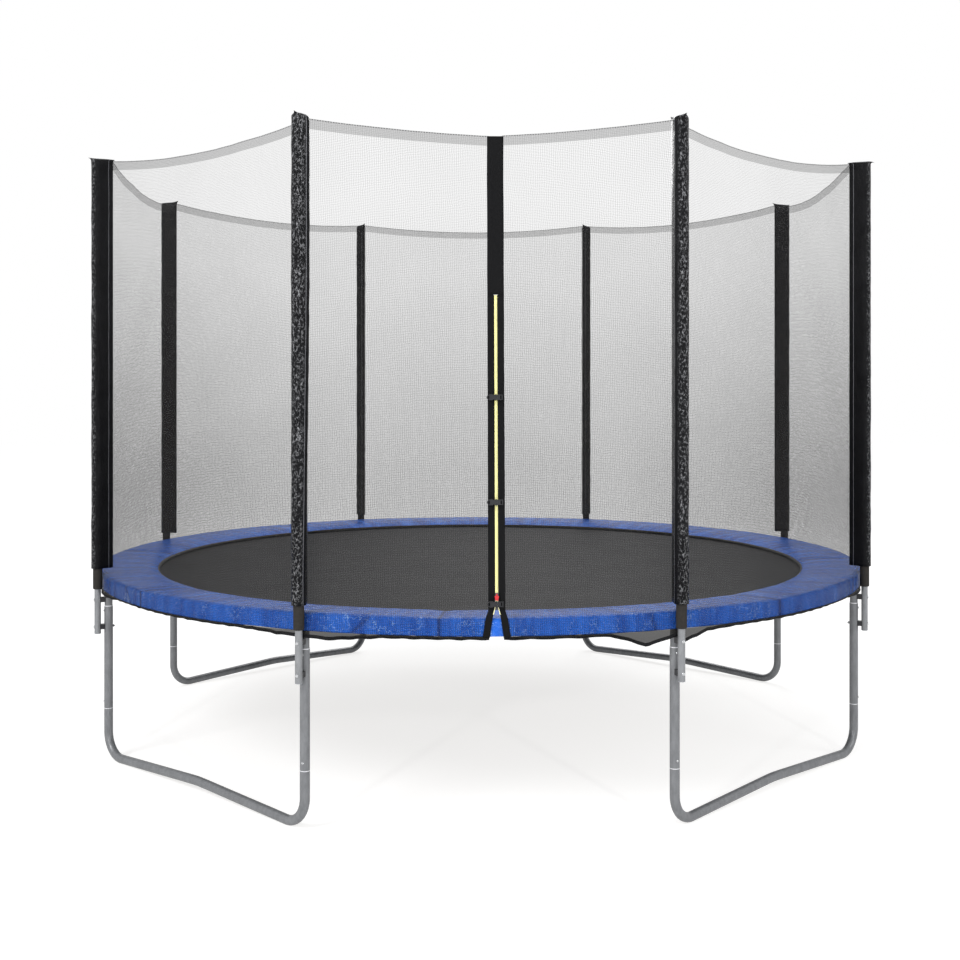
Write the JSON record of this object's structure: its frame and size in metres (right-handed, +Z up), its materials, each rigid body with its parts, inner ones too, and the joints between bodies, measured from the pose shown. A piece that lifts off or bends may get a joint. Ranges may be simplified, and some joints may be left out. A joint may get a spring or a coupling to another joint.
{
  "type": "garden trampoline",
  "caption": "Round garden trampoline with a blue spring pad, bent steel legs and a tall see-through net on padded poles with a zipped door.",
  "frame": {"origin": "on the ground at the centre of the ring frame", "axes": "+Z up, -Y out through the middle of the zipped door, +X to the right for someone who faces the door"},
  "size_m": [3.6684, 3.6888, 2.6684],
  "materials": {
    "galvanised_steel": "satin, galvanised tube",
    "bright_steel": "bright zinc",
    "black_plastic": "matt moulded",
    "grey_plastic": "matt moulded",
    "red_plastic": "gloss",
    "zip_yellow": "satin coil teeth",
    "foam": "matt closed-cell foam",
    "cover_fabric": "shiny crinkled coated fabric",
    "mat_fabric": "woven polypropylene",
    "net_fabric": "fine see-through mesh",
    "black_fabric": "woven webbing",
    "pad_vinyl": "glossy coated vinyl"
  },
  "bodies": {
    "frame": {"rail_1": "galvanised_steel", "rail_2": "galvanised_steel", "rail_3": "galvanised_steel", "rail_4": "galvanised_steel", "rail_5": "galvanised_steel", "rail_6": "galvanised_steel", "rail_7": "galvanised_steel", "rail_8": "galvanised_steel", "leg_post_1": "galvanised_steel", "leg_post_2": "galvanised_steel", "leg_post_3": "galvanised_steel", "leg_post_4": "galvanised_steel", "leg_post_5": "galvanised_steel", "leg_post_6": "galvanised_steel", "leg_post_7": "galvanised_steel", "leg_post_8": "galvanised_steel", "leg_base_1": "galvanised_steel", "leg_base_2": "galvanised_steel", "leg_base_3": "galvanised_steel", "leg_base_4": "galvanised_steel", "pole_lower_1": "galvanised_steel", "pole_lower_2": "galvanised_steel", "pole_lower_3": "galvanised_steel", "pole_lower_4": "galvanised_steel", "pole_lower_5": "galvanised_steel", "pole_lower_6": "galvanised_steel", "pole_lower_7": "galvanised_steel", "pole_lower_8": "galvanised_steel", "pole_upper_1": "galvanised_steel", "pole_upper_2": "galvanised_steel", "pole_upper_3": "galvanised_steel", "pole_upper_4": "galvanised_steel", "pole_upper_5": "galvanised_steel", "pole_upper_6": "galvanised_steel", "pole_upper_7": "galvanised_steel", "pole_upper_8": "galvanised_steel", "pole_caps": "grey_plastic", "foam_tubes": "foam", "pole_covers": "cover_fabric", "pole_spacers": "black_plastic", "pole_bolts": "bright_steel", "pole_nuts": "bright_steel", "leg_screws": "bright_steel", "springs": "bright_steel", "safety_pad": "pad_vinyl", "pad_ties": "black_fabric", "safety_net": "net_fabric", "door_band": "black_fabric", "zip_teeth": "zip_yellow", "buckle_straps": "black_fabric", "buckle_sockets": "black_plastic"},
    "mat": {"jumping_mat": "mat_fabric", "mat_webbing": "black_fabric", "v_rings": "bright_steel"},
    "slider": {"zip_slider": "bright_steel"},
    "pull": {"zip_pull": "red_plastic"},
    "plug_1": {"buckle_plug_1": "black_plastic"},
    "plug_2": {"buckle_plug_2": "black_plastic"},
    "plug_3": {"buckle_plug_3": "black_plastic"}
  },
  "joints": [
    {"name": "mat_bounce", "type": "slide", "parent": "frame", "child": "mat", "axis": [0, 0, 1], "range_m": [-0.2, 0], "stiffness_N_per_m": 5000, "springref_m": 0.03, "deforming": ["springs"]},
    {"name": "zip_slide", "type": "slide", "parent": "frame", "child": "slider", "axis": [0, 0.1019, 0.9948], "range_m": [0, 1.083]},
    {"name": "zip_pull_tilt", "type": "hinge", "parent": "slider", "child": "pull", "pos_m": [0.018, -1.83774, 0.90574], "axis": [-1, 0, 0], "range_deg": [0, 150]},
    {"name": "buckle_release_1", "type": "slide", "parent": "frame", "child": "plug_1", "axis": [1, 0, 0], "range_m": [0, 0.022]},
    {"name": "buckle_release_2", "type": "slide", "parent": "frame", "child": "plug_2", "axis": [1, 0, 0], "range_m": [0, 0.022]},
    {"name": "buckle_release_3", "type": "slide", "parent": "frame", "child": "plug_3", "axis": [1, 0, 0], "range_m": [0, 0.022]}
  ]
}
